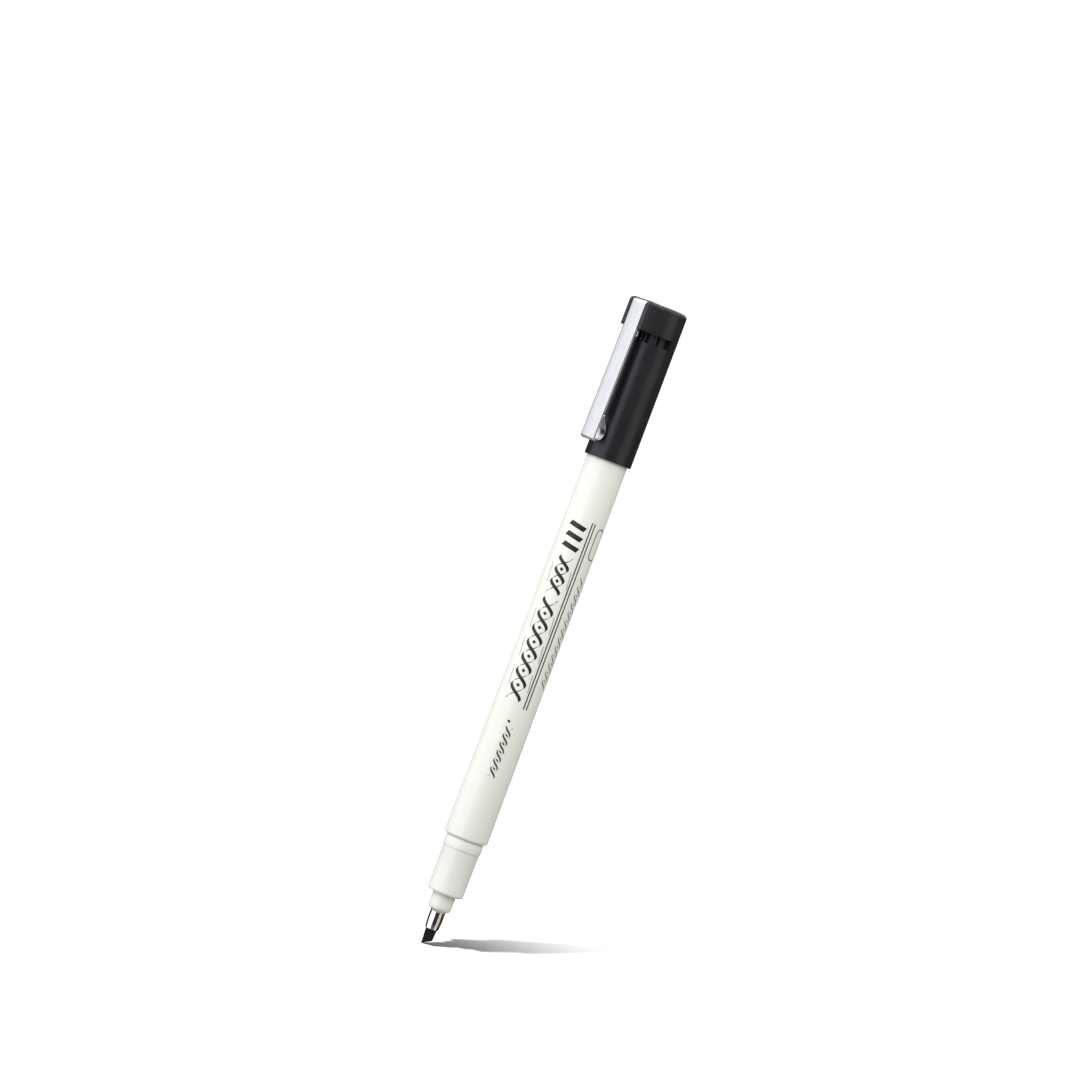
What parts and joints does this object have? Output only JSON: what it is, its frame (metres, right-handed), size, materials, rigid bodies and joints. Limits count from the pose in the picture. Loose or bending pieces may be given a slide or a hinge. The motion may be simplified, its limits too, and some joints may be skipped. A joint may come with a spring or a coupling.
{
  "type": "calligraphy marker",
  "caption": "Slim white felt calligraphy marker with a slanted chisel nib in a metal ferrule, its black cap with a folded steel pocket clip posted on the rear.",
  "frame": {"origin": "on the pen's axis, level with the nib's lowest corner", "axes": "+Z along the pen from nib to cap, -Y towards the pocket clip, +X to the right seen from the clip's side"},
  "size_m": [0.0108, 0.0141, 0.1495],
  "materials": {
    "barrel_white": "satin moulded polypropylene",
    "grip_white": "satin moulded polypropylene",
    "holder_ivory": "satin moulded polypropylene",
    "cap_black": "semi-gloss moulded",
    "liner_black": "moulded",
    "clip_steel": "satin stamped sheet",
    "ferrule_metal": "polished drawn tube",
    "nib_fibre": "bonded fibre soaked in black ink",
    "ink_fibre": "bundled fibre soaked in black ink",
    "sheath_film": "clear film"
  },
  "bodies": {
    "pen": {"nib": "nib_fibre", "ferrule": "ferrule_metal", "nib_holder": "holder_ivory", "grip_section": "grip_white", "barrel": "barrel_white", "tail_plug": "grip_white", "ink_reservoir": "ink_fibre", "reservoir_sheath": "sheath_film"},
    "cap": {"cap_shell": "cap_black", "inner_cap": "liner_black", "clip_root": "clip_steel"},
    "clip": {"clip_arm": "clip_steel"}
  },
  "joints": [
    {"name": "cap_slide", "type": "slide", "parent": "pen", "child": "cap", "axis": [0, 0, 1], "range_m": [0, 0.02]},
    {"name": "clip_flex", "type": "hinge", "parent": "cap", "child": "clip", "pos_m": [0, -0.00825, 0.1428], "axis": [-1, 0, 0], "range_deg": [0, 6], "stiffness_Nm_per_rad": 0.6}
  ]
}
